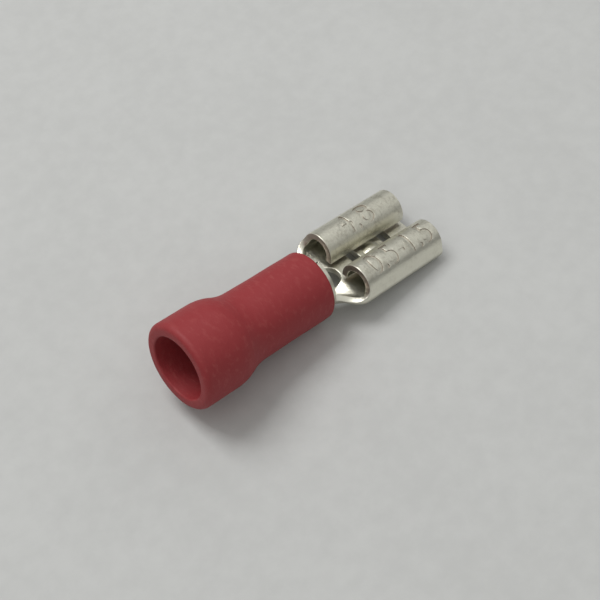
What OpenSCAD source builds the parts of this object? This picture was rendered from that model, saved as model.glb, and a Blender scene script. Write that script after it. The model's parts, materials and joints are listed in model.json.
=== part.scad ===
// Insulated female push-on terminal for a flat tab.
// One strip of sheet metal is folded into a receptacle with two rolled wings, a short transition
// trough and a butt-seam wire barrel. A soft sleeve with a flared wire entry covers the barrel.
// The part is laid out along +X from the sleeve's mouth, then laid down as it comes to rest:
// on the sleeve's front rim and on the receptacle's tip.

/* [Sheet metal] */
// Thickness of the strip
sheet_t = 0.4; // [0.3:0.02:0.5]
// Inside radius of the receptacle's bottom bends
bend_in_r = 0.18; // [0.1:0.02:0.3]

/* [Receptacle] */
// Width over the rolled wings
receptacle_w = 5.8; // [5:0.1:7.5]
// Height from the underside to the top of the rolls
receptacle_h = 2.02; // [1.7:0.02:2.5]
// Length of the rolled wings
receptacle_l = 6.05; // [4.5:0.05:8]
// Lean of the outer walls towards the middle, in degrees
wall_lean = 20; // [0:1:30]
// Gap between the two rolls
roll_gap = 0.94; // [0.4:0.02:1.6]
// Height of the slit that takes the tab, before it springs
tab_gap = 0.26; // [0.1:0.02:0.4]
// Corner radius of the rolls' free edges
free_edge_r = 0.12; // [0.05:0.01:0.14]

/* [Spring floor] */
// Width of each cross slot along the terminal
slot_w = 0.62; // [0.3:0.02:0.9]
// Length of each cross slot across the floor
slot_l = 3.5; // [2:0.1:4]
// Distance from the receptacle's rear edge to the middle of the first slot
slot_start = 1.75; // [1.2:0.05:2]
// Distance between the middles of the two slots
slot_pitch = 2.58; // [2.2:0.02:3]
// Radius of the detent dome at its foot
detent_r = 0.6; // [0.4:0.02:0.7]
// Height of the detent dome
detent_h = 0.18; // [0.1:0.01:0.25]

/* [Transition] */
// Length from the barrel to the rolled wings
transition_l = 1.65; // [1.4:0.05:2.6]
// Width of the strip where it leaves the barrel, measured flat
neck_strip_w = 4; // [3.2:0.1:4.8]
// Width of the strip where it meets the wings, measured flat
wing_strip_w = 6.5; // [5:0.1:6.8]
// Corner radius where the strip widens at each end
notch_r = 0.27; // [0.15:0.01:0.4]
// Drop from the barrel's axis to the underside of the receptacle
floor_drop = 0.75; // [0.4:0.05:1.2]
// Diameter of the pilot hole
pilot_d = 1.46; // [0.8:0.02:1.6]
// Distance from the barrel's front end to the middle of the pilot hole
pilot_x = 1.08; // [0.9:0.02:1.2]

/* [Wire barrel] */
// Inside diameter of the barrel
barrel_id = 2.5; // [1.8:0.05:2.8]
// Length of the barrel
barrel_l = 5.7; // [4.5:0.1:6.5]
// Length of barrel that stands out of the sleeve's front end
barrel_out = 0.5; // [0.3:0.05:1]
// Opening of the butt seam along the top
seam_gap = 0.06; // [0.04:0.01:0.15]
// Chamfer inside the barrel's wire end
lead_in = 0.1; // [0.05:0.01:0.15]
// Number of serrations inside the barrel, each a V-groove all round
groove_count = 3; // [2:1:4]
// Width of each serration
groove_w = 0.3; // [0.2:0.05:0.4]
// Depth of each serration
groove_depth = 0.06; // [0.04:0.01:0.1]
// Distance between the serrations
groove_pitch = 1.1; // [0.9:0.1:1.2]

/* [Sleeve] */
// Length of the sleeve
sleeve_l = 9.8; // [8:0.05:12]
// Thickness of the flared wire entry's wall
flare_wall = 0.72; // [0.5:0.02:1.2]
// Length of the flare before its shoulder
flare_l = 2.45; // [1.6:0.05:3]
// Length of the ogee shoulder
shoulder_l = 2.4; // [1.6:0.05:3]
// Thickness of the sleeve's wall over the barrel
neck_wall = 0.49; // [0.35:0.01:0.7]
// Inside diameter of the mouth
mouth_d = 3.9; // [3.4:0.05:4.4]
// Depth of the mouth before it narrows
mouth_l = 2.6; // [1.8:0.1:3]
// Radius of the rim round the mouth
rim_r = 0.34; // [0.1:0.02:0.4]
// Radius of the sleeve's front edge
front_rim_r = 0.1; // [0.05:0.01:0.2]
// Radial clearance between barrel and sleeve
sleeve_fit = 0.01; // [0.01:0.01:0.03]
// Clearance between the barrel's wire end and its seat in the sleeve
seat_gap = 0.02; // [0.01:0.01:0.05]

/* [Hidden] */
$fn = 96;
METAL = [0.78, 0.77, 0.71];
VINYL = [0.62, 0.11, 0.12];
cut = 1; // how far a cutter runs past the face that it opens

// Wire barrel
barrel_in_r = barrel_id / 2;
barrel_out_r = barrel_in_r + sheet_t;
barrel_mid_r = barrel_in_r + sheet_t / 2;
barrel_front = sleeve_l + barrel_out;
barrel_rear = barrel_front - barrel_l;

// Receptacle
receptacle_rear = barrel_front + transition_l;
overall_l = receptacle_rear + receptacle_l;
floor_z = -floor_drop;
bend_out_r = bend_in_r + sheet_t;
flat_half_w = receptacle_w / 2 - bend_out_r;
slot_x = [for (i = [0, 1]) receptacle_rear + slot_start + i * slot_pitch];
detent_x = (slot_x[0] + slot_x[1]) / 2;
detent_sphere_r = (detent_r ^ 2 + detent_h ^ 2) / (2 * detent_h);

// The roll's radius and the straight wall below it follow from the width, the height, the gap
// between the rolls and the lean of the wall, because each arc is tangent to the wall.
reach = receptacle_w / 2 - roll_gap / 2 - bend_out_r * (1 - cos(wall_lean));
rise = receptacle_h - bend_out_r * (1 + sin(wall_lean));
fold_det = (1 + cos(wall_lean)) * cos(wall_lean) - (1 - sin(wall_lean)) * sin(wall_lean);
roll_r = (reach * cos(wall_lean) - rise * sin(wall_lean)) / fold_det;
wall_l = ((1 + cos(wall_lean)) * rise - (1 - sin(wall_lean)) * reach) / fold_det;
roll_y = roll_gap / 2 + roll_r;
roll_z = floor_z + receptacle_h - roll_r;
free_edge_z = floor_z + sheet_t + tab_gap;
free_wall_l = roll_z - free_edge_z;

// The same section along the middle of the sheet, measured from the middle of the floor
bend_mid_r = bend_out_r - sheet_t / 2;
roll_mid_r = roll_r - sheet_t / 2;
bend_end = flat_half_w + bend_mid_r * radians(90 + wall_lean);
wall_end = bend_end + wall_l;

// Transition: its faces lie just inside those of the barrel and the receptacle that it runs into
skin = 0.02;
lap = 0.15;
neck_t = sheet_t - 2 * skin;
loft_steps = 14;
strip_steps = 24;
edge_crowding = 70; // 0 spaces the points evenly across the strip, 90 crowds them at its edges
unroll_start = 1.4;
unroll_end = 2.1;

// Sleeve
seat_x = barrel_rear - seat_gap;
throat_r = barrel_in_r + lead_in;
pocket_r = barrel_out_r + sleeve_fit;
neck_r = pocket_r + neck_wall;
flare_r = mouth_d / 2 + flare_wall;
shoulder_drop = flare_r - neck_r;
shoulder_r = (shoulder_l ^ 2 + shoulder_drop ^ 2) / (4 * shoulder_drop);

// Rest: the line that touches the sleeve's front rim and the lower corner of the tip
tip_from_rim = [overall_l - (sleeve_l - front_rim_r), neck_r - front_rim_r - floor_drop];
rest_tilt = atan2(tip_from_rim.y, tip_from_rim.x) + asin(front_rim_r / norm(tip_from_rim));
rest_height = overall_l * sin(rest_tilt) + floor_drop * cos(rest_tilt);

function radians(a) = a * PI / 180;
function degrees(a) = a * 180 / PI;
function clamp01(s) = min(1, max(0, s));
function unit(v) = v / norm(v);
function at_angle(r, a) = r * [cos(a), sin(a)];

// Middle of the sheet at the distance u across the strip, as [y, z]: in the barrel
function in_barrel(u) = at_angle(barrel_mid_r, degrees(u / barrel_mid_r) - 90);

// In the receptacle: along the floor, round the bottom bend, up the wall and round the roll
function in_wing(u) =
    u < flat_half_w ? [u, floor_z + sheet_t / 2] :
    u < bend_end ? [flat_half_w, floor_z + bend_out_r]
        + at_angle(bend_mid_r, degrees((u - flat_half_w) / bend_mid_r) - 90) :
    u < wall_end ? [roll_y, roll_z]
        + at_angle(roll_mid_r, wall_lean) + at_angle(wall_end - u, wall_lean - 90) :
    [roll_y, roll_z] + at_angle(roll_mid_r, wall_lean + degrees((u - wall_end) / roll_mid_r));
function in_receptacle(u) = let (p = in_wing(abs(u))) [sign(u) * p.x, p.y];

// Middle of the sheet in the transition: the section unrolls while its bottom climbs to the floor
function mid_sheet(x, u) =
    let (
        s = clamp01((x - barrel_front) / transition_l),
        unrolled = 1 - (1 - s ^ unroll_start) ^ unroll_end,
        climbed = s * s * (3 - 2 * s),
        p = in_barrel(u) * (1 - unrolled) + in_receptacle(u) * unrolled,
        climb = (climbed - unrolled) * (barrel_mid_r + floor_z + sheet_t / 2))
    [x, p.x, p.y + climb];

// The sheet's upward normal, from the surface's own slopes
function sheet_normal(x, u, d = 0.01) =
    unit(cross(mid_sheet(x + d, u) - mid_sheet(x - d, u), mid_sheet(x, u + d) - mid_sheet(x, u - d)));

// What lies between the middle of one wing and the sheet's face at the depth d below its outer face
module wing_fill(d) {
    bend = [flat_half_w, floor_z + bend_out_r];
    roll = [roll_y, roll_z];
    translate(bend) circle(bend_out_r - d);
    translate(roll) intersection() {
        circle(roll_r - d);
        translate([-roll_r, 0]) square([2 * roll_r, roll_r]);
    }
    polygon([
        bend, bend + at_angle(bend_out_r - d, wall_lean),
        roll + at_angle(roll_r - d, wall_lean), roll]);
    polygon([
        [roll_gap / 2 + sheet_t, floor_z + d], [flat_half_w, floor_z + d],
        bend, roll, [roll_gap / 2 + sheet_t, roll_z]]);
}

// One wing of the receptacle: bottom bend, leaning wall, roll and the free edge above the floor
module wing_profile() {
    difference() {
        union() {
            wing_fill(0);
            translate([roll_gap / 2, free_edge_z + free_edge_r])
                square([roll_r, free_wall_l - free_edge_r]);
        }
        wing_fill(sheet_t);
    }
    translate([roll_gap / 2, free_edge_z]) {
        translate([free_edge_r, 0]) square([sheet_t - 2 * free_edge_r, 2 * free_edge_r]);
        for (y = [free_edge_r, sheet_t - free_edge_r]) translate([y, free_edge_r]) circle(free_edge_r);
    }
}

module receptacle_profile() {
    translate([-flat_half_w, floor_z]) square([2 * flat_half_w, sheet_t]);
    wing_profile();
    mirror([1, 0]) wing_profile();
}

// Dome that drops into the tab's hole, pressed up from below
module detent(r) {
    translate([detent_x, 0, floor_z + sheet_t + detent_h - detent_sphere_r]) sphere(r);
}

module receptacle() {
    difference() {
        union() {
            translate([receptacle_rear, 0, 0])
                rotate([90, 0, 90]) linear_extrude(receptacle_l) receptacle_profile();
            intersection() {
                detent(detent_sphere_r);
                translate([detent_x, 0, floor_z + sheet_t / 2])
                    cylinder(r = detent_r, h = sheet_t + detent_h);
            }
        }
        detent(detent_sphere_r - sheet_t);
        for (x = slot_x) translate([x - slot_w / 2, -slot_l / 2, floor_z - cut])
            cube([slot_w, slot_l, cut + sheet_t + tab_gap / 2]);
    }
}

// Half the strip's flat width at x, with a round corner at each end of the notch
function corner(d) = d >= notch_r ? 0 : notch_r - sqrt(notch_r ^ 2 - (notch_r - d) ^ 2);
function half_strip(x) =
    let (s = clamp01((x - barrel_front) / transition_l))
    (neck_strip_w * (1 - s) + wing_strip_w * s) / 2
        + corner(max(0, x - barrel_front)) + corner(max(0, receptacle_rear - x));

// Closed ring of points round the strip's section at x: the upper face, then the lower face back
function strip_ring(x) =
    let (
        h = half_strip(x) / sin(edge_crowding),
        across = [for (j = [0:strip_steps]) h * sin(edge_crowding * (2 * j / strip_steps - 1))],
        middles = [for (u = across) mid_sheet(x, u)],
        offsets = [for (u = across) sheet_normal(x, u) * neck_t / 2])
    concat(middles + offsets, [for (j = [strip_steps:-1:0]) middles[j] - offsets[j]]);

// The strip between barrel and receptacle: a loft of sections, unrolled from the round to the flat
module transition() {
    stations = concat(
        [barrel_front - lap],
        [for (i = [0:loft_steps]) barrel_front + transition_l * (1 - cos(180 * i / loft_steps)) / 2],
        [receptacle_rear + lap]);
    rings = [for (x = stations) strip_ring(x)];
    n = len(rings[0]);
    last = len(stations) - 1;
    skins = [for (i = [0:last - 1], j = [0:n - 1])
        [i * n + j, i * n + (j + 1) % n, (i + 1) * n + (j + 1) % n, (i + 1) * n + j]];
    rear_cap = [for (j = [0:strip_steps - 1]) [j + 1, j, n - 1 - j, n - 2 - j]];
    front_cap = [for (f = rear_cap) [for (k = [3:-1:0]) last * n + f[k]]];
    difference() {
        polyhedron([for (r = rings) each r], concat(skins, rear_cap, front_cap), convexity = 6);
        translate(mid_sheet(barrel_front + pilot_x, 0))
            cylinder(d = pilot_d, h = 4 * sheet_t, center = true);
    }
}

module along_x(x) {
    translate([x, 0, 0]) rotate([0, 90, 0]) children();
}

// Tube with a lead-in for the wire, serrations inside and a butt seam along the top
module wire_barrel() {
    places = [for (i = [0:groove_count - 1]) barrel_l / 2 + (i - (groove_count - 1) / 2) * groove_pitch];
    serrations = [for (x = places) each [
        [barrel_in_r, x - groove_w / 2], [barrel_in_r + groove_depth, x], [barrel_in_r, x + groove_w / 2]]];
    difference() {
        along_x(barrel_rear) rotate([0, 0, 180]) rotate_extrude() polygon(concat(
            [[barrel_out_r, barrel_l], [barrel_out_r, 0], [barrel_in_r + lead_in, 0], [barrel_in_r, lead_in]],
            serrations,
            [[barrel_in_r, barrel_l]]));
        translate([barrel_rear - cut, -seam_gap / 2, 0])
            cube([barrel_l + 2 * cut, seam_gap, barrel_out_r + cut]);
    }
}

module terminal() {
    color(METAL) laid() {
        wire_barrel();
        transition();
        receptacle();
    }
}

// Outline of the sleeve's outside as [radius, distance from the mouth]
module sleeve_outside() {
    square([flare_r - rim_r, rim_r]);
    translate([flare_r - rim_r, rim_r]) circle(rim_r);
    translate([0, rim_r]) square([flare_r, flare_l - rim_r]);
    intersection() {
        translate([0, flare_l]) square([flare_r, shoulder_l / 2]);
        translate([flare_r - shoulder_r, flare_l]) circle(shoulder_r);
    }
    difference() {
        translate([0, flare_l + shoulder_l / 2]) square([flare_r, shoulder_l / 2]);
        translate([neck_r + shoulder_r, flare_l + shoulder_l]) circle(shoulder_r);
    }
    translate([0, flare_l + shoulder_l / 2])
        square([neck_r, sleeve_l - flare_l - shoulder_l / 2 - front_rim_r]);
    translate([neck_r - front_rim_r, sleeve_l - front_rim_r]) circle(front_rim_r);
    translate([0, sleeve_l - 2 * front_rim_r]) square([neck_r - front_rim_r, 2 * front_rim_r]);
}

// Outline of its inside: mouth, the funnel that guides the strands, and the pocket for the barrel
module sleeve_inside() {
    polygon([
        [0, -cut], [mouth_d / 2, -cut], [mouth_d / 2, mouth_l], [throat_r, seat_x],
        [pocket_r, seat_x], [pocket_r, sleeve_l + cut], [0, sleeve_l + cut]]);
}

module sleeve() {
    color(VINYL) laid() along_x(0) rotate_extrude() difference() {
        sleeve_outside();
        sleeve_inside();
    }
}

// Lays the part on z = 0 with the middle of its length over the origin
module laid() {
    translate([-overall_l / 2 * cos(rest_tilt), 0, rest_height]) rotate([0, rest_tilt, 0]) children();
}

terminal();
sleeve();
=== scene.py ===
"""Female push-on spade terminal: the detailed pieces, their finishes and the stage."""

import json
import math
from types import SimpleNamespace

import bpy
import numpy as np
from mathutils import Matrix, Vector, noise


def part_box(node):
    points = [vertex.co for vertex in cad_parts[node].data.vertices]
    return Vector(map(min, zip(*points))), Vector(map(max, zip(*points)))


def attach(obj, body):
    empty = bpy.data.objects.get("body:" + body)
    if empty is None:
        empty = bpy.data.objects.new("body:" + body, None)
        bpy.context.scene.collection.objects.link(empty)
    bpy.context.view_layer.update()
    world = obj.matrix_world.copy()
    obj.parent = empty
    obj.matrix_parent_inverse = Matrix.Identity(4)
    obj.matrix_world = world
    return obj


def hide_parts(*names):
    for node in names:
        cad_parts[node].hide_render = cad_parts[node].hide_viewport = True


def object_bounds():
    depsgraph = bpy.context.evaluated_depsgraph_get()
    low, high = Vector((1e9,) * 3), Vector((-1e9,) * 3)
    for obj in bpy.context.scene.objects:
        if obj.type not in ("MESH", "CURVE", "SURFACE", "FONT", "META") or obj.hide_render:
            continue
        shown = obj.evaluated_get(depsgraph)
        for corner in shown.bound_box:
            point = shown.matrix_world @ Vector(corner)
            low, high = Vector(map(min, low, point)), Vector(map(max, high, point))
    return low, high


bl_info = {
    "name": "Spade Terminal",
    "version": (1, 0, 0),
    "blender": (4, 5, 0),
    "location": "3D View > Sidebar > Terminal",
    "description": "Folds the sheet metal, turns the soft sleeve and sets the stage",
    "category": "Add Mesh",
}

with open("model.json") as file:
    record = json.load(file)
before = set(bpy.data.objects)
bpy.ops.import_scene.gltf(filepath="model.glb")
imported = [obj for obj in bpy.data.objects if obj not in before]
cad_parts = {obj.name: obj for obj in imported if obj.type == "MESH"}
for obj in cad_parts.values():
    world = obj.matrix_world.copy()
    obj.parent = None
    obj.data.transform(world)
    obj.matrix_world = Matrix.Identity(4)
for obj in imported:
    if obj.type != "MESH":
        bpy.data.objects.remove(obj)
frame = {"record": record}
CAD_BOX = [list(corner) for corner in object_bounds()]

MM = 0.001
MOUNTS = {mount["name"]: mount for mount in frame["record"]["mounts"]}
MOUTH = MOUNTS["sleeve_mouth"]
BARREL = MOUNTS["wire_barrel"]
TERMINAL_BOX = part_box("terminal")

# The part's own axis runs from the sleeve's mouth to the receptacle's tip. Pieces are modelled in
# millimetres along it, and LAID puts them where the frame lies.
AXIS = -Vector(MOUTH["axis"])
MOUTH_CENTRE = Vector(MOUTH["pos_m"]) - AXIS * MOUTH["dims"]["length_mm"] * MM / 2
SIDE = Vector((0, 1, 0))
LAID = Matrix.Translation(MOUTH_CENTRE) @ Matrix((AXIS, SIDE, AXIS.cross(SIDE))).transposed().to_4x4()
LAID = LAID @ Matrix.Scale(MM, 4)


def length(name, millimetres, description):
    """A property that holds a length, given here in millimetres."""
    return bpy.props.FloatProperty(
        name=name,
        description=description,
        default=millimetres * MM,
        precision=5,
        subtype="DISTANCE",
        unit="LENGTH",
    )


def angle(name, degrees, description):
    """A property that holds an angle, given here in degrees."""
    return bpy.props.FloatProperty(
        name=name,
        description=description,
        default=math.radians(degrees),
        subtype="ANGLE",
        unit="ROTATION",
    )


def colour(name, value, description):
    """A property that holds a linear colour."""
    return bpy.props.FloatVectorProperty(
        name=name, description=description, default=value, size=3, min=0, max=1, subtype="COLOR"
    )


def number(name, value, description):
    """A property that holds a plain number."""
    return bpy.props.FloatProperty(name=name, description=description, default=value)


class SheetSettings(bpy.types.PropertyGroup):
    """Sizes of the folded strip."""

    thickness: length("Thickness", 0.4, "Thickness of the strip")
    bend_in_r: length("Bend radius", 0.18, "Inside radius of the bottom bends")
    width: length("Width", (TERMINAL_BOX[1].y - TERMINAL_BOX[0].y) / MM, "Width over the rolled wings")
    height: length("Height", 2.02, "Height from the underside to the top of the rolls")
    wing_length: length("Wing length", 6.05, "Length of the rolled wings")
    roll_gap: length("Roll gap", 0.94, "Gap between the two rolls")
    tab_gap: length("Tab gap", 0.26, "Height of the slit that takes the tab")
    floor_drop: length("Floor drop", 0.75, "From the barrel's axis down to the underside")
    wall_lean: angle("Wall lean", 20, "Lean of the outer walls towards the middle")
    slot_width: length("Slot width", 0.62, "Width of each cross slot, along the terminal")
    slot_length: length("Slot length", 3.5, "Length of each cross slot, across the floor")
    slot_start: length("Slot start", 1.75, "From the wings' rear edge to the first slot")
    slot_pitch: length("Slot pitch", 2.58, "Distance between the two slots")
    detent_r: length("Detent radius", 0.6, "Radius of the detent dome at its foot")
    detent_h: length("Detent height", 0.18, "Height of the detent dome")
    transition: length("Transition", 1.65, "Length of the trough between barrel and wings")
    neck_strip: length("Neck strip", 4.0, "Flat width of the trough at the barrel")
    wing_strip: length("Wing strip", 6.5, "Flat width of the trough at the wings")
    notch_r: length("Notch radius", 0.27, "Corner radius at each end of the notch")
    pilot_d: length("Pilot hole", 1.46, "Diameter of the pilot hole")
    pilot_x: length("Pilot place", 1.08, "From the barrel's front end to the pilot hole")
    barrel_in_r: length("Barrel radius", BARREL["dims"]["r_mm"], "Inside radius of the wire barrel")
    barrel_length: length("Barrel length", 5.7, "Length of the wire barrel")
    barrel_out: length("Barrel stand-out", 0.5, "Length of barrel in front of the sleeve")
    seam_gap: length("Seam", 0.06, "Opening of the butt seam along the top")
    groove_pitch: length("Serration pitch", 1.1, "Distance between the serrations")
    groove_width: length("Serration width", 0.3, "Width of each serration")
    groove_depth: length("Serration depth", 0.06, "Depth of each serration")
    edge_round: length("Edge rounding", 0.05, "Rounding of the sheared edges")
    near_turn: angle("Near turn", 62, "How far round the near roll its numbers stand")
    far_turn: angle("Far turn", 74, "How far round the far roll its numbers stand")
    range_width: length("Range width", 4.9, "Width of the wire range on the near roll")
    range_shift: length("Range shift", 0.1, "Wire range's shift towards the tip")
    tab_mark_width: length("Tab number width", 2.6, "Width of the tab's number on the far roll")
    tab_mark_shift: length("Tab number shift", -0.3, "Tab number's shift towards the tip")
    mark_height: length("Number height", 1.25, "Height of the stamped numbers")
    mark_depth: length("Number depth", 0.05, "Depth of the stamped numbers")
    mark_round: length("Number rounding", 0.022, "Rounding of the stamped numbers' rims")


class SleeveSettings(bpy.types.PropertyGroup):
    """Sizes of the soft sleeve."""

    total: length("Length", 9.8, "Length of the sleeve")
    flare_wall: length("Flare wall", 0.72, "Wall of the flared wire entry")
    flare_length: length("Flare length", 2.45, "Length of the flare before its shoulder")
    shoulder: length("Shoulder", 2.4, "Length of the ogee shoulder")
    neck_wall: length("Neck wall", 0.49, "Wall over the barrel")
    mouth_r: length("Mouth radius", MOUTH["dims"]["r_mm"], "Inside radius of the mouth")
    mouth_length: length("Mouth length", MOUTH["dims"]["length_mm"], "Depth of the mouth")
    lip_out_r: length("Outer lip radius", 0.34, "Rounding of the mouth's outer edge")
    lip_in_r: length("Inner lip radius", 0.1, "Rounding of the mouth's inner edge")
    front_r: length("Front edge radius", 0.1, "Rounding of the sleeve's front edge")
    fit: length("Fit", 0.01, "Clearance round the barrel")
    seat_gap: length("Seat gap", 0.02, "Clearance between the barrel's rear end and its seat")
    throat_clear: length("Throat clearance", 0.1, "From the barrel's bore out to the throat")
    unevenness: length("Unevenness", 0.02, "How far the moulded surface strays from round")


class FinishSettings(bpy.types.PropertyGroup):
    """Colours of the finishes."""

    tin: colour("Tin", (0.78, 0.765, 0.66), "Satin tin plate")
    # Darker tone: faint and random all over the plate, and on the rolls' outer faces painted shade for
    # the dark reflections in the dents.
    stain_and_dent_shade: colour("Stain and dent shade", (0.42, 0.39, 0.31), "Darker film on the plate")
    # Sheared edges near the rolls: partly bare metal, partly a painted reflection of the red sleeve
    # and its shadow in the wings' rear faces.
    core: colour("Sheared edge", (0.30, 0.235, 0.20), "Bare metal where the strip was sheared")
    vinyl: colour("Vinyl", (0.29, 0.028, 0.032), "Soft vinyl of the sleeve")
    # Paler colour for the wrinkles' ridges: a painted sheen, the glint of light along the ridges.
    vinyl_ridge_sheen: colour("Vinyl ridge sheen", (0.40, 0.085, 0.08), "Ridges of the vinyl's wrinkles")
    paper: colour("Floor", (0.56, 0.565, 0.555), "Pale plain floor")


class StageSettings(bpy.types.PropertyGroup):
    """Camera and light, in millimetres along and across the part's own axis."""

    camera_x: length("Camera along", -30.445, "Camera's place along the axis")
    camera_y: length("Camera across", -34.895, "Camera's place across the axis")
    camera_z: length("Camera above", 56.829, "Camera's place above the axis")
    aim_x: length("Aim along", 8.8095, "What the camera looks at, along the axis")
    aim_y: length("Aim across", -0.3022, "What the camera looks at, across the axis")
    aim_z: length("Aim above", -0.3158, "What the camera looks at, above the axis")
    roll: angle("Camera roll", -7.508, "Turn of the camera about its line of sight")
    lens: number("Focal length", 81.69, "Focal length on a 36 mm sensor")
    key_light: number("Key lamp", 0.45, "The key lamp's share of the light on the floor")
    key_distance: length("Key distance", 350, "From the part to the key lamp")
    key_size: length("Key size", 160, "Side of the square key lamp")
    floor_size: length("Floor size", 400, "Side of the square floor")
    overhead: number("Overhead", 0.62, "Brightness of the room above")
    horizon: number("Horizon", 0.10, "Brightness of the room at the level of the table")


def in_mm(group):
    """A group's lengths in millimetres, with its other values as they are."""
    values = {}
    for key, prop in group.bl_rna.properties.items():
        if key in group.__annotations__:
            values[key] = getattr(group, key) / (MM if prop.unit == "LENGTH" else 1)
    return SimpleNamespace(**values)


# ---------------------------------------------------------------------------------- modelling aids


def deselect():
    """Leaves edit mode with nothing selected."""
    if bpy.context.mode != "OBJECT":
        bpy.ops.object.mode_set(mode="OBJECT")
    bpy.ops.object.select_all(action="DESELECT")


def edit(piece, select="SELECT"):
    """Opens a piece in edit mode with all of it selected, or none."""
    deselect()
    bpy.context.view_layer.objects.active = piece
    piece.select_set(True)
    bpy.ops.object.mode_set(mode="EDIT")
    bpy.ops.mesh.select_mode(type="VERT")
    bpy.ops.mesh.select_all(action=select)


def draw(name, points):
    """A chain of edges through the points, drawn by extruding one vertex."""
    deselect()
    bpy.ops.mesh.primitive_plane_add(size=1)
    piece = bpy.context.object
    piece.name = name
    edit(piece)
    bpy.ops.mesh.merge(type="CENTER")
    bpy.ops.transform.translate(value=points[0])
    for here, there in zip(points, points[1:]):
        step = Vector(there) - Vector(here)
        bpy.ops.mesh.extrude_region_move(TRANSFORM_OT_translate={"value": step})
    return piece


def subtract(piece, cutter):
    """Cuts one piece out of another and removes the cutter."""
    modifier = piece.modifiers.new("Cut", "BOOLEAN")
    modifier.object = cutter
    modifier.operation = "DIFFERENCE"
    modifier.solver = "EXACT"
    apply(piece, modifier)
    bpy.data.objects.remove(cutter)


def apply(piece, modifier):
    """Applies a modifier."""
    deselect()
    bpy.context.view_layer.objects.active = piece
    piece.select_set(True)
    bpy.ops.object.modifier_apply(modifier=modifier.name)


def apply_place(piece):
    """Moves a piece's place, turn and scale into its mesh."""
    deselect()
    bpy.context.view_layer.objects.active = piece
    piece.select_set(True)
    bpy.ops.object.transform_apply(location=True, rotation=True, scale=True)


def round_edges(piece, radius, segments, angle):
    """Rounds every edge that is sharper than the angle."""
    modifier = piece.modifiers.new("Round", "BEVEL")
    modifier.width = radius
    modifier.segments = segments
    modifier.limit_method = "ANGLE"
    modifier.angle_limit = angle
    modifier.harden_normals = False
    apply(piece, modifier)


def slice_mesh(piece, planes):
    """Cuts edge loops into a mesh where each plane, given as a point and a normal, crosses it."""
    edit(piece)
    for point, normal in planes:
        bpy.ops.mesh.select_all(action="SELECT")
        bpy.ops.mesh.bisect(plane_co=point, plane_no=normal)
    bpy.ops.object.mode_set(mode="OBJECT")


def vertices(piece):
    """A mesh's vertices as rows of an array."""
    co = np.empty(len(piece.data.vertices) * 3)
    piece.data.vertices.foreach_get("co", co)
    return co.reshape(-1, 3)


def set_vertices(piece, co):
    """Writes the rows back to the mesh."""
    piece.data.vertices.foreach_set("co", np.ascontiguousarray(co, dtype=np.float32).ravel())
    piece.data.update()


def lay(piece, node, smooth_angle):
    """Puts a piece, modelled in millimetres along the axis, into the frame in place of its node."""
    piece.data.transform(LAID)
    deselect()
    bpy.context.view_layer.objects.active = piece
    piece.select_set(True)
    bpy.ops.object.shade_smooth_by_angle(angle=smooth_angle)
    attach(piece, "root")
    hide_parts(node)


def spread(start, stop, step):
    """Evenly spaced values from start to stop, no further apart than step."""
    return np.linspace(start, stop, max(2, math.ceil((stop - start) / step) + 1))


# ------------------------------------------------------------------------------------ shader maths


class Value:
    """A node's output socket. Arithmetic on it adds Math nodes."""

    def __init__(self, finish, socket):
        self.finish = finish
        self.socket = socket

    def _math(self, operation, first, second):
        settings = {"operation": operation}
        return self.finish.node("ShaderNodeMath", settings, {0: first, 1: second})

    def __add__(self, other):
        return self._math("ADD", self, other)

    def __mul__(self, other):
        return self._math("MULTIPLY", self, other)

    __radd__ = __add__
    __rmul__ = __mul__

    def absolute(self):
        return self._math("ABSOLUTE", self, 0)


class Finish:
    """A node tree that is filled by calls instead of by hand."""

    def __init__(self, tree):
        self.tree = tree
        tree.nodes.clear()

    def node(self, kind, settings=None, inputs=None, output=0):
        """Adds a node, sets it up, feeds its sockets and returns one of its outputs."""
        node = self.tree.nodes.new(kind)
        for name, setting in (settings or {}).items():
            setattr(node, name, setting)
        for name, feed in (inputs or {}).items():
            if isinstance(feed, Value):
                self.tree.links.new(feed.socket, node.inputs[name])
            else:
                node.inputs[name].default_value = feed
        return Value(self, node.outputs[output]) if len(node.outputs) else None

    def mix(self, factor, first, second):
        """Blend of two colours."""
        return self.node(
            "ShaderNodeMix",
            {"data_type": "RGBA"},
            {0: factor, 6: self._opaque(first), 7: self._opaque(second)},
            output=2,
        )

    def _opaque(self, shade):
        return shade if isinstance(shade, Value) else (*shade, 1)

    def ramp(self, value, low, high):
        """0 below low, 1 above high and a smooth step between them."""
        return self.node(
            "ShaderNodeMapRange",
            {"interpolation_type": "SMOOTHSTEP"},
            {0: value, 1: low, 2: high, 3: 0.0, 4: 1.0},
        )

    def noise(self, vector, scale, detail=2.0, roughness=0.5, stretch=(1, 1, 1)):
        """Cloudy noise from 0 to 1, drawn out by stretch."""
        place = self.node("ShaderNodeMapping", {}, {"Vector": vector, "Scale": stretch})
        return self.node(
            "ShaderNodeTexNoise",
            {},
            {"Vector": place, "Scale": scale, "Detail": detail, "Roughness": roughness},
        )

    def attribute(self, name, output="Vector"):
        """An attribute that the mesh carries."""
        return self.node("ShaderNodeAttribute", {"attribute_name": name}, {}, output)

    def split(self, vector):
        """The three parts of a vector."""
        first = self.node("ShaderNodeSeparateXYZ", {}, {0: vector})
        outputs = first.socket.node.outputs
        return [Value(self, outputs[i]) for i in range(3)]

    def bump(self, height, distance, strength, normal=None):
        """Relief in a surface. Distance is in metres."""
        inputs = {"Height": height, "Distance": distance, "Strength": strength}
        if normal:
            inputs["Normal"] = normal
        return self.node("ShaderNodeBump", {}, inputs)


def new_finish(name):
    """A new material and the Finish that fills it."""
    material = bpy.data.materials.new(name)
    material.use_nodes = True
    return material, Finish(material.node_tree)


def surface(finish, inputs):
    """Ends a material in a Principled shader with these inputs."""
    shader = finish.node("ShaderNodeBsdfPrincipled", {}, inputs)
    finish.node("ShaderNodeOutputMaterial", {}, {"Surface": shader})


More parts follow.
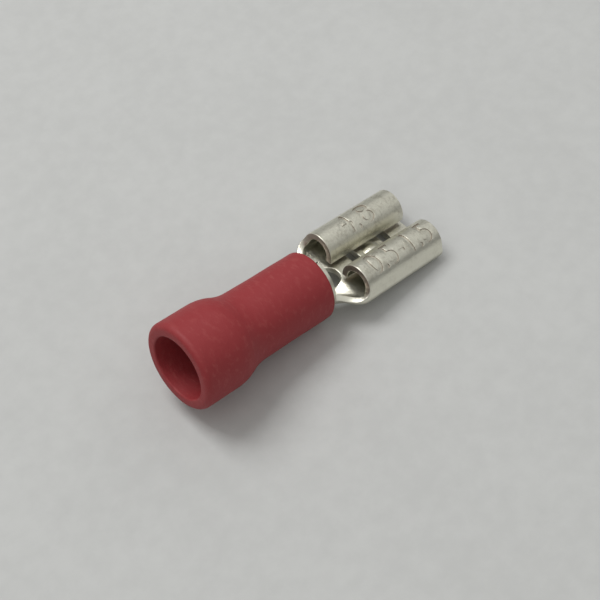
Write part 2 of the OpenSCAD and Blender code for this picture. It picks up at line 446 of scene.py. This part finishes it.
def tinned_finish(colours, sheet):
    """Satin tin plate: stamped and mottled on the rolls, drawn smooth on the walls, with painted shade
    in the rolls' dents and a painted reflection of the sleeve on the sheared edges near the rolls.
    """
    material, f = new_finish("Tinned metal")
    flat = f.attribute("flat")
    along, across, depth = f.split(flat)
    reach = across.absolute()
    on_roll = f.ramp(reach, sheet.wall_end + 0.15, sheet.wall_end + 0.7)
    outside = f.ramp(depth * -1, 0.0, sheet.thickness / 4)
    stamped = on_roll * outside
    sheared = f.attribute("sheared", "Fac")

    clouds = f.noise(flat, 2.2, 3.0, 0.6)
    mottle = f.noise(flat, 6.0, 3.0, 0.65)
    grit = f.noise(flat, 22.0, 2.0, 0.6)
    drawn = f.noise(flat, 5.0, 2.0, 0.55, stretch=(0.12, 3.0, 1.0))

    # Darker mottle from the dents' own noise: a faint random tone all over, and on the rolls' outer
    # faces painted shade for the dark reflections in the dents.
    mottle_and_dent_shade = f.ramp(clouds * 0.6 + mottle * 0.4, 0.46, 0.66) * (0.18 + 0.3 * stamped)
    plate = f.mix(mottle_and_dent_shade, colours.tin, colours.stain_and_dent_shade)
    # Brown on the sheared faces near the rolls: partly the bare metal of the cut, partly a painted
    # reflection of the red sleeve and its shadow.
    bare_edge_and_reflection = sheared * f.ramp(reach, sheet.wall_end - 0.9, sheet.wall_end + 0.3)
    base = f.mix(bare_edge_and_reflection * (0.75 + 0.25 * mottle), plate, colours.core)
    roughness = 0.27 + 0.12 * mottle + 0.1 * stamped * grit + 0.2 * bare_edge_and_reflection
    dents = f.bump(mottle * 0.7 + clouds * 0.5, 0.05 * MM, 0.5)
    lines = f.bump(drawn, 0.012 * MM, 0.35, dents)
    speckle = f.bump(grit * stamped, 0.03 * MM, 0.45, lines)
    surface(f, {"Base Color": base, "Metallic": 1.0, "Roughness": roughness, "Normal": speckle})
    return material


def vinyl_finish(colours):
    """Soft matte vinyl with a fine leathery wrinkle and a painted sheen on the wrinkles' ridges."""
    material, f = new_finish("Red vinyl")
    coordinates = f.node("ShaderNodeTexCoord", {}, {}, "Object")
    tilt = AXIS.to_track_quat("X", "Z").to_euler()
    unturned = f.node(
        "ShaderNodeMapping",
        {"vector_type": "TEXTURE"},
        {"Vector": coordinates, "Location": MOUTH_CENTRE, "Rotation": tilt, "Scale": (MM, MM, MM)},
    )
    clouds = f.noise(unturned, 0.55, 2.0)
    creases = f.noise(unturned, 4.0, 4.0, 0.6, stretch=(1.0, 0.45, 0.7))
    grain = f.noise(unturned, 14.0, 3.0, 0.6)
    ridges = f.ramp(creases, 0.5, 0.68)
    # Painted sheen: the crease ridges are lightened towards the paler colour.
    base = f.mix(ridges * clouds * 0.5, colours.vinyl, colours.vinyl_ridge_sheen)
    roughness = 0.5 + 0.16 * grain
    folds = f.bump(creases, 0.05 * MM, 0.5)
    fine = f.bump(grain, 0.02 * MM, 0.4, folds)
    surface(f, {"Base Color": base, "Roughness": roughness, "Specular IOR Level": 0.4, "Normal": fine})
    return material


def paper_finish(colours):
    """Pale, slightly fibrous card."""
    material, f = new_finish("Pale card")
    coordinates = f.node("ShaderNodeTexCoord", {}, {}, "Object")
    fibres = f.noise(coordinates, 900.0, 4.0, 0.6)
    patches = f.noise(coordinates, 120.0, 2.0)
    shade = f.ramp(fibres * 0.6 + patches * 0.4, 0.3, 0.7)
    darker = tuple(0.93 * c for c in colours.paper)
    base = f.mix(shade, darker, colours.paper)
    relief = f.bump(fibres, 0.05 * MM, 0.3)
    surface(f, {"Base Color": base, "Roughness": 0.9, "Specular IOR Level": 0.2, "Normal": relief})
    return material


# ---------------------------------------------------------------------------------- folded terminal


class FoldedStrip:
    """Where a point of the flat strip goes when the strip is folded.

    The flat strip has x along the axis, u across from its middle line and n up from its middle face.
    """

    def __init__(self, s):
        self.__dict__.update(vars(s))
        self.barrel_front = in_mm(bpy.context.scene.sleeve_settings).total + s.barrel_out
        self.barrel_rear = self.barrel_front - s.barrel_length
        self.wing_rear = self.barrel_front + s.transition
        self.tip = self.wing_rear + s.wing_length
        self.barrel_mid_r = s.barrel_in_r + s.thickness / 2
        self.barrel_half = math.pi * self.barrel_mid_r - s.seam_gap / 2
        bend_out_r = s.bend_in_r + s.thickness
        self.bend_mid_r = bend_out_r - s.thickness / 2
        self.flat_half = s.width / 2 - bend_out_r
        self.bend_z = bend_out_r - s.floor_drop
        lean, cos, sin = s.wall_lean, math.cos(s.wall_lean), math.sin(s.wall_lean)
        reach = s.width / 2 - s.roll_gap / 2 - bend_out_r * (1 - cos)
        rise = s.height - bend_out_r * (1 + sin)
        fold = (1 + cos) * cos - (1 - sin) * sin
        roll_r = (reach * cos - rise * sin) / fold
        self.wall = ((1 + cos) * rise - (1 - sin) * reach) / fold
        self.roll_y = s.roll_gap / 2 + roll_r
        self.roll_z = s.height - s.floor_drop - roll_r
        self.roll_mid_r = roll_r - s.thickness / 2
        self.bend_end = self.flat_half + self.bend_mid_r * (math.pi / 2 + lean)
        self.wall_end = self.bend_end + self.wall
        self.roll_end = self.wall_end + self.roll_mid_r * (math.pi - lean)
        free_edge_z = s.thickness + s.tab_gap - s.floor_drop
        self.half = self.roll_end + self.roll_z - free_edge_z
        self.detent_x = self.wing_rear + s.slot_start + s.slot_pitch / 2

    def half_strip(self, x):
        """Half the flat width of the trough between barrel and wings."""
        share = (x - self.barrel_front) / self.transition
        straight = (self.neck_strip * (1 - share) + self.wing_strip * share) / 2
        return straight + self.corner(x - self.barrel_front) + self.corner(self.wing_rear - x)

    def corner(self, distance):
        """How much a round corner adds at this distance from it."""
        inside = max(0.0, self.notch_r - distance)
        return self.notch_r - math.sqrt(self.notch_r**2 - inside**2)

    def receptacle(self, u):
        """Middle of the sheet in the receptacle: floor, bottom bend, wall, roll and free edge."""
        v = np.abs(u)
        quarter, lean = math.pi / 2, self.wall_lean
        bend = (v - self.flat_half) / self.bend_mid_r - quarter
        roll = lean + (v - self.wall_end) / self.roll_mid_r
        below = self.wall_end - v
        spans = [v < self.flat_half, v < self.bend_end, v < self.wall_end, v < self.roll_end]
        y = np.select(
            spans,
            [
                v,
                self.flat_half + self.bend_mid_r * np.cos(bend),
                self.roll_y + self.roll_mid_r * math.cos(lean) + below * math.sin(lean),
                self.roll_y + self.roll_mid_r * np.cos(roll),
            ],
            self.roll_y - self.roll_mid_r,
        )
        z = np.select(
            spans,
            [
                self.thickness / 2 - self.floor_drop + 0 * v,
                self.bend_z + self.bend_mid_r * np.sin(bend),
                self.roll_z + self.roll_mid_r * math.sin(lean) - below * math.cos(lean),
                self.roll_z + self.roll_mid_r * np.sin(roll),
            ],
            self.roll_z - (v - self.roll_end),
        )
        return np.sign(u) * y, z

    def middle(self, x, u):
        """Middle of the sheet at x and u: the section unrolls while its bottom climbs to the floor."""
        s = np.clip((x - self.barrel_front) / self.transition, 0, 1)
        unrolled = 1 - (1 - s**1.4) ** 2.1
        climbed = s * s * (3 - 2 * s)
        angle = u / self.barrel_mid_r - math.pi / 2
        y0, z0 = self.barrel_mid_r * np.cos(angle), self.barrel_mid_r * np.sin(angle)
        y1, z1 = self.receptacle(u)
        climb = (climbed - unrolled) * (self.barrel_mid_r + self.thickness / 2 - self.floor_drop)
        y = y0 * (1 - unrolled) + y1 * unrolled
        z = z0 * (1 - unrolled) + z1 * unrolled + climb
        return np.stack([x, y, z], 1)

    def fold(self, flat):
        """Folded places of flat points."""
        x, u, n = flat.T
        d = 0.002
        slope_x = self.middle(x + d, u) - self.middle(x - d, u)
        slope_u = self.middle(x, u + d) - self.middle(x, u - d)
        normal = np.cross(slope_x, slope_u)
        normal /= np.linalg.norm(normal, axis=1, keepdims=True)
        return self.middle(x, u) + normal * n[:, None]


# Plain numbers for the wire's section and the tab's width.
WIRE_RANGE = "0.5-1.5"
TAB_WIDTH = "4.8"


def cut_blank(s):
    """The pierced flat blank, with its sheared edges rounded."""
    notch = [(x, s.half_strip(x)) for x in spread(s.barrel_front, s.wing_rear, 0.07)]
    side = [
        (s.barrel_rear, s.barrel_half),
        (s.barrel_front, s.barrel_half),
        *notch,
        (s.wing_rear, s.half),
        (s.tip, s.half),
    ]
    outline = [(x, u) for x, u in side] + [(x, -u) for x, u in reversed(side)]
    blank = draw("terminal_folded", [(x, u, -s.thickness / 2) for x, u in outline])
    bpy.ops.mesh.select_all(action="SELECT")
    bpy.ops.mesh.edge_face_add()
    bpy.ops.mesh.extrude_region_move(TRANSFORM_OT_translate={"value": (0, 0, s.thickness)})
    bpy.ops.mesh.select_all(action="SELECT")
    bpy.ops.mesh.normals_make_consistent(inside=False)
    for i in range(2):
        deselect()
        bpy.ops.mesh.primitive_cube_add(
            size=1,
            location=(s.wing_rear + s.slot_start + i * s.slot_pitch, 0, 0),
            scale=(s.slot_width, s.slot_length, 3 * s.thickness),
        )
        subtract(blank, bpy.context.object)
    deselect()
    bpy.ops.mesh.primitive_cylinder_add(
        vertices=64,
        radius=s.pilot_d / 2,
        depth=3 * s.thickness,
        location=(s.barrel_front + s.pilot_x, 0, 0),
    )
    subtract(blank, bpy.context.object)
    round_edges(blank, s.edge_round, 3, math.radians(50))
    return blank


def stamp(blank, s, text, place, width):
    """Sinks plain numbers into the strip's outer face. They read along the axis."""
    deselect()
    bpy.ops.object.text_add()
    label = bpy.context.object
    label.data.body = text
    label.data.align_x = "CENTER"
    label.data.align_y = "CENTER"
    label.data.extrude = 0.5
    label.data.resolution_u = 4
    deselect()
    label.select_set(True)
    bpy.context.view_layer.objects.active = label
    bpy.ops.object.convert(target="MESH")
    label = bpy.context.object
    co = vertices(label)
    low, high = co.min(0), co.max(0)
    co = (co - (low + high) / 2) / (high - low)
    co *= (width, s.mark_height, 2 * s.mark_depth)
    set_vertices(label, co)
    label.rotation_euler.x = math.pi
    label.location = (place[0], place[1], -s.thickness / 2)
    apply_place(label)
    edit(label)
    bpy.ops.mesh.remove_doubles(threshold=0.001)
    bpy.ops.mesh.normals_make_consistent(inside=False)
    deselect()
    subtract(blank, label)


def soften_stamps(blank, s):
    """Rounds the rims of the stamped numbers."""
    edit(blank, "DESELECT")
    bpy.ops.object.mode_set(mode="OBJECT")
    mesh = blank.data
    face = -s.thickness / 2
    counts = {}
    for polygon in mesh.polygons:
        for key in polygon.edge_keys:
            counts.setdefault(key, []).append(polygon.normal)
    for edge in mesh.edges:
        a, b = (mesh.vertices[i] for i in edge.vertices)
        on_face = abs(a.co.z - face) < 1e-4 and abs(b.co.z - face) < 1e-4
        normals = counts[edge.key]
        walled = len(normals) == 2 and normals[0].angle(normals[1], 0) > math.radians(70)
        edge.select = on_face and walled and abs(a.co.y) > s.wall_end
    bpy.ops.object.mode_set(mode="EDIT")
    bpy.ops.mesh.select_mode(type="EDGE")
    bpy.ops.mesh.bevel(offset=s.mark_round, segments=2, affect="EDGES", clamp_overlap=True)
    deselect()


def slice_blank(blank, s):
    """Cuts the loops along which the blank will bend."""
    xs = set()
    for i in range(3):
        middle = (s.barrel_rear + s.barrel_front) / 2 + (i - 1) * s.groove_pitch
        xs.update([middle - s.groove_width / 2, middle, middle + s.groove_width / 2])
    xs.update(spread(s.barrel_front - 0.1, s.wing_rear, 0.05))
    xs.update([s.wing_rear + 0.1, s.tip - 0.1])
    xs.update(spread(s.wing_rear + 0.25, s.tip - 0.25, 0.25))
    xs.update(spread(s.detent_x - s.detent_r, s.detent_x + s.detent_r, 0.06))
    us = set(spread(0, s.detent_r, 0.06)) | set(spread(s.detent_r, s.flat_half, 0.1))
    us |= set(spread(s.flat_half, s.bend_end, 0.045)) | set(spread(s.bend_end, s.wall_end, 0.1))
    us |= set(spread(s.wall_end, s.roll_end, 0.065))
    planes = [((x, 0, 0), (1, 0, 0)) for x in sorted(xs)]
    planes += [((0, u, 0), (0, 1, 0)) for u in sorted(us | {-u for u in us})]
    slice_mesh(blank, planes)


def press_forms(flat, s):
    """Heights of the pressed forms at flat points: the detent dome and the barrel's serrations."""
    x, u, n = flat.T
    sphere_r = (s.detent_r**2 + s.detent_h**2) / (2 * s.detent_h)
    out = np.hypot(x - s.detent_x, u)
    dome = np.sqrt(np.maximum(sphere_r**2 - out**2, 0)) - (sphere_r - s.detent_h)
    height = np.where(out < s.detent_r, dome, 0)
    inner = n > s.thickness / 4
    for i in range(3):
        middle = (s.barrel_rear + s.barrel_front) / 2 + (i - 1) * s.groove_pitch
        groove = np.clip(1 - np.abs(x - middle) / (s.groove_width / 2), 0, 1)
        height -= np.where(inner, groove * s.groove_depth, 0)
    return height


def mark_faces(piece):
    """Keeps the flat place of each vertex, and which faces are sheared walls, as attributes."""
    flat = vertices(piece)
    places = piece.data.attributes.new("flat", "FLOAT_VECTOR", "POINT")
    places.data.foreach_set("vector", flat.astype(np.float32).ravel())
    normals = np.empty(len(piece.data.polygons) * 3)
    piece.data.polygons.foreach_get("normal", normals)
    sheared = (np.abs(normals.reshape(-1, 3)[:, 2]) < 0.3).astype(np.float32)
    walls = piece.data.attributes.new("sheared", "FLOAT", "FACE")
    walls.data.foreach_set("value", sheared)
    return flat


class SPADE_OT_terminal(bpy.types.Operator):
    """Cut, stamp and fold the metal strip"""

    bl_idname = "spade.terminal"
    bl_label = "Folded terminal"

    def execute(self, context):
        sheet = FoldedStrip(in_mm(context.scene.sheet_settings))
        blank = cut_blank(sheet)
        near = -(sheet.wall_end + sheet.roll_mid_r * sheet.near_turn)
        far = sheet.wall_end + sheet.roll_mid_r * sheet.far_turn
        middle = (sheet.wing_rear + sheet.tip) / 2
        stamp(blank, sheet, WIRE_RANGE, (middle + sheet.range_shift, near), sheet.range_width)
        stamp(blank, sheet, TAB_WIDTH, (middle + sheet.tab_mark_shift, far), sheet.tab_mark_width)
        soften_stamps(blank, sheet)
        slice_blank(blank, sheet)
        edit(blank)
        bpy.ops.mesh.quads_convert_to_tris(quad_method="BEAUTY", ngon_method="BEAUTY")
        deselect()
        flat = mark_faces(blank)
        flat[:, 2] += press_forms(flat, sheet)
        set_vertices(blank, sheet.fold(flat))
        blank.data.materials.clear()
        blank.data.materials.append(tinned_finish(context.scene.finish_settings, sheet))
        lay(blank, "terminal", math.radians(38))
        return {"FINISHED"}


# --------------------------------------------------------------------------------------- soft sleeve


def arc(centre, radius, start, stop, steps):
    """Points (x, r) along an arc, with angles in degrees from +x towards +r."""
    angles = np.radians(np.linspace(start, stop, steps + 1))
    return [(centre[0] + radius * math.cos(a), centre[1] + radius * math.sin(a)) for a in angles]


def sleeve_outline(s, barrel_in_r, sheet_t, seat):
    """Closed outline (x, r) of the sleeve's wall: round the lip, along the outside, back inside."""
    pocket_r = barrel_in_r + sheet_t + s.fit
    neck_r = pocket_r + s.neck_wall
    flare_r = s.mouth_r + s.flare_wall
    drop = flare_r - neck_r
    ogee_r = (s.shoulder**2 + drop**2) / (4 * drop)
    sweep = math.degrees(math.asin(s.shoulder / 2 / ogee_r))
    shoulder_end = s.flare_length + s.shoulder
    outline = arc((s.lip_in_r, s.mouth_r + s.lip_in_r), s.lip_in_r, 270, 180, 5)
    outline += arc((s.lip_out_r, flare_r - s.lip_out_r), s.lip_out_r, 180, 90, 10)
    outline += [(x, flare_r) for x in spread(s.lip_out_r, s.flare_length, 0.12)[1:]]
    outline += arc((s.flare_length, flare_r - ogee_r), ogee_r, 90, 90 - sweep, 10)[1:]
    outline += arc((shoulder_end, neck_r + ogee_r), ogee_r, 270 - sweep, 270, 10)[1:]
    outline += [(x, neck_r) for x in spread(shoulder_end, s.total - s.front_r, 0.12)[1:]]
    outline += arc((s.total - s.front_r, neck_r - s.front_r), s.front_r, 90, 0, 5)[1:]
    outline += [(s.total, pocket_r + s.front_r), (s.total - s.front_r, pocket_r)]
    outline += [(seat, pocket_r), (seat, barrel_in_r + s.throat_clear), (s.mouth_length, s.mouth_r)]
    return outline


# The surface is left round up to this far outside the barrel, so that the pocket stays true.
INSIDE_BAND = 0.15
QUICK_OFFSET = Vector((7, 3, 5))


def roughen(sleeve, s, barrel_out_r):
    """Lets the moulded surface stray a little from round, outside and at the lips."""
    co = vertices(sleeve)
    for i, (x, y, z) in enumerate(co):
        place = Vector((x, y, z))
        radius = math.hypot(y, z)
        if radius < barrel_out_r + INSIDE_BAND:
            continue
        slow = noise.noise(place * 0.45)
        quick = noise.noise(place * 1.9 + QUICK_OFFSET)
        shift = s.unevenness * (slow + 0.35 * quick - 1) / radius
        co[i, 1:] *= 1 + shift
    set_vertices(sleeve, co)


class SPADE_OT_sleeve(bpy.types.Operator):
    """Turn the soft sleeve"""

    bl_idname = "spade.sleeve"
    bl_label = "Soft sleeve"

    def execute(self, context):
        s = in_mm(context.scene.sleeve_settings)
        sheet = FoldedStrip(in_mm(context.scene.sheet_settings))
        outline = sleeve_outline(s, sheet.barrel_in_r, sheet.thickness, sheet.barrel_rear - s.seat_gap)
        sleeve = draw("sleeve_turned", [(x, 0, r) for x, r in outline + outline[:1]])
        bpy.ops.mesh.select_all(action="SELECT")
        bpy.ops.mesh.spin(steps=144, angle=2 * math.pi, center=(0, 0, 0), axis=(1, 0, 0))
        bpy.ops.mesh.select_all(action="SELECT")
        bpy.ops.mesh.remove_doubles(threshold=0.0005)
        bpy.ops.mesh.normals_make_consistent(inside=False)
        deselect()
        roughen(sleeve, s, sheet.barrel_in_r + sheet.thickness)
        sleeve.data.materials.clear()
        sleeve.data.materials.append(vinyl_finish(context.scene.finish_settings))
        lay(sleeve, "sleeve", math.radians(50))
        return {"FINISHED"}


# --------------------------------------------------------------------------------------------- stage


def make_camera(s):
    """The camera, set by its place, its aim and its roll in the part's own axes."""
    place = LAID @ Vector((s.camera_x, s.camera_y, s.camera_z))
    aim = LAID @ Vector((s.aim_x, s.aim_y, s.aim_z))
    above = LAID.to_3x3().normalized() @ Vector((0, 0, 1))
    back = (place - aim).normalized()
    right = above.cross(back).normalized()
    turn = Matrix((right, back.cross(right), back)).transposed() @ Matrix.Rotation(-s.roll, 3, "Z")
    camera = bpy.data.objects.new("Camera", bpy.data.cameras.new("Camera"))
    bpy.context.scene.collection.objects.link(camera)
    camera.matrix_world = Matrix.Translation(place) @ turn.to_4x4()
    camera.data.sensor_width = 36
    camera.data.lens = s.lens
    camera.data.clip_start = 1 * MM
    camera.data.clip_end = 10
    bpy.context.scene.camera = camera


# The key lamp stands high, behind the part and a little towards its wire end.
KEY_FROM = (-0.1, 0.45, 0.88)


def make_lamp(name, direction, distance, size, light):
    """A square lamp that looks at the part from a direction. Light is what it gives the floor."""
    data = bpy.data.lights.new(name, "AREA")
    data.shape = "SQUARE"
    data.size = size
    direction = Vector(direction).normalized()
    data.energy = light * math.pi**2 * distance**2 / direction.z
    lamp = bpy.data.objects.new(name, data)
    bpy.context.scene.collection.objects.link(lamp)
    lamp.location = direction * distance
    lamp.rotation_euler = direction.to_track_quat("Z", "Y").to_euler()


def make_room(s):
    """A plain room, bright overhead and dim at the level of the table."""
    world = bpy.data.worlds.new("Room")
    bpy.context.scene.world = world
    world.use_nodes = True
    f = Finish(world.node_tree)
    direction = f.node("ShaderNodeTexCoord", {}, {}, "Generated")
    up = f.split(direction)[2]
    bright = s.horizon + (s.overhead - s.horizon) * f.ramp(up, 0.15, 0.6)
    light = f.node("ShaderNodeBackground", {}, {"Color": (1, 1, 0.98, 1), "Strength": bright})
    f.node("ShaderNodeOutputWorld", {}, {"Surface": light})


class SPADE_OT_stage(bpy.types.Operator):
    """Lay the floor and set the lamps and the camera"""

    bl_idname = "spade.stage"
    bl_label = "Stage"

    def execute(self, context):
        s = in_mm(context.scene.stage_settings)
        deselect()
        bpy.ops.mesh.primitive_plane_add(size=s.floor_size * MM, location=(0, 0, CAD_BOX[0][2]))
        floor = bpy.context.object
        floor.name = "floor"
        apply_place(floor)
        floor.data.materials.append(paper_finish(context.scene.finish_settings))
        make_camera(s)
        make_room(s)
        make_lamp("Key", KEY_FROM, s.key_distance * MM, s.key_size * MM, s.key_light)
        view = context.scene.view_settings
        view.view_transform = "Standard"
        return {"FINISHED"}


class SPADE_PT_panel(bpy.types.Panel):
    """Lists the sizes, the finishes and the steps that build the part"""

    bl_label = "Spade terminal"
    bl_space_type = "VIEW_3D"
    bl_region_type = "UI"
    bl_category = "Terminal"

    def draw(self, context):
        for operator in OPERATORS:
            self.layout.operator(operator.bl_idname)
        for name, group in GROUPS.items():
            box = self.layout.box()
            box.label(text=group.__doc__)
            for key in group.__annotations__:
                box.prop(getattr(context.scene, name), key)


OPERATORS = (SPADE_OT_sleeve, SPADE_OT_terminal, SPADE_OT_stage)
GROUPS = {
    "sheet_settings": SheetSettings,
    "sleeve_settings": SleeveSettings,
    "finish_settings": FinishSettings,
    "stage_settings": StageSettings,
}


def register():
    for item in (*GROUPS.values(), *OPERATORS, SPADE_PT_panel):
        bpy.utils.register_class(item)
    for name, group in GROUPS.items():
        setattr(bpy.types.Scene, name, bpy.props.PointerProperty(type=group))


def unregister():
    for name in GROUPS:
        delattr(bpy.types.Scene, name)
    for item in (SPADE_PT_panel, *reversed(OPERATORS), *reversed(GROUPS.values())):
        bpy.utils.unregister_class(item)


def main():
    register()
    bpy.ops.spade.sleeve()
    bpy.ops.spade.terminal()
    bpy.ops.spade.stage()


if __name__ == "__main__":
    main()
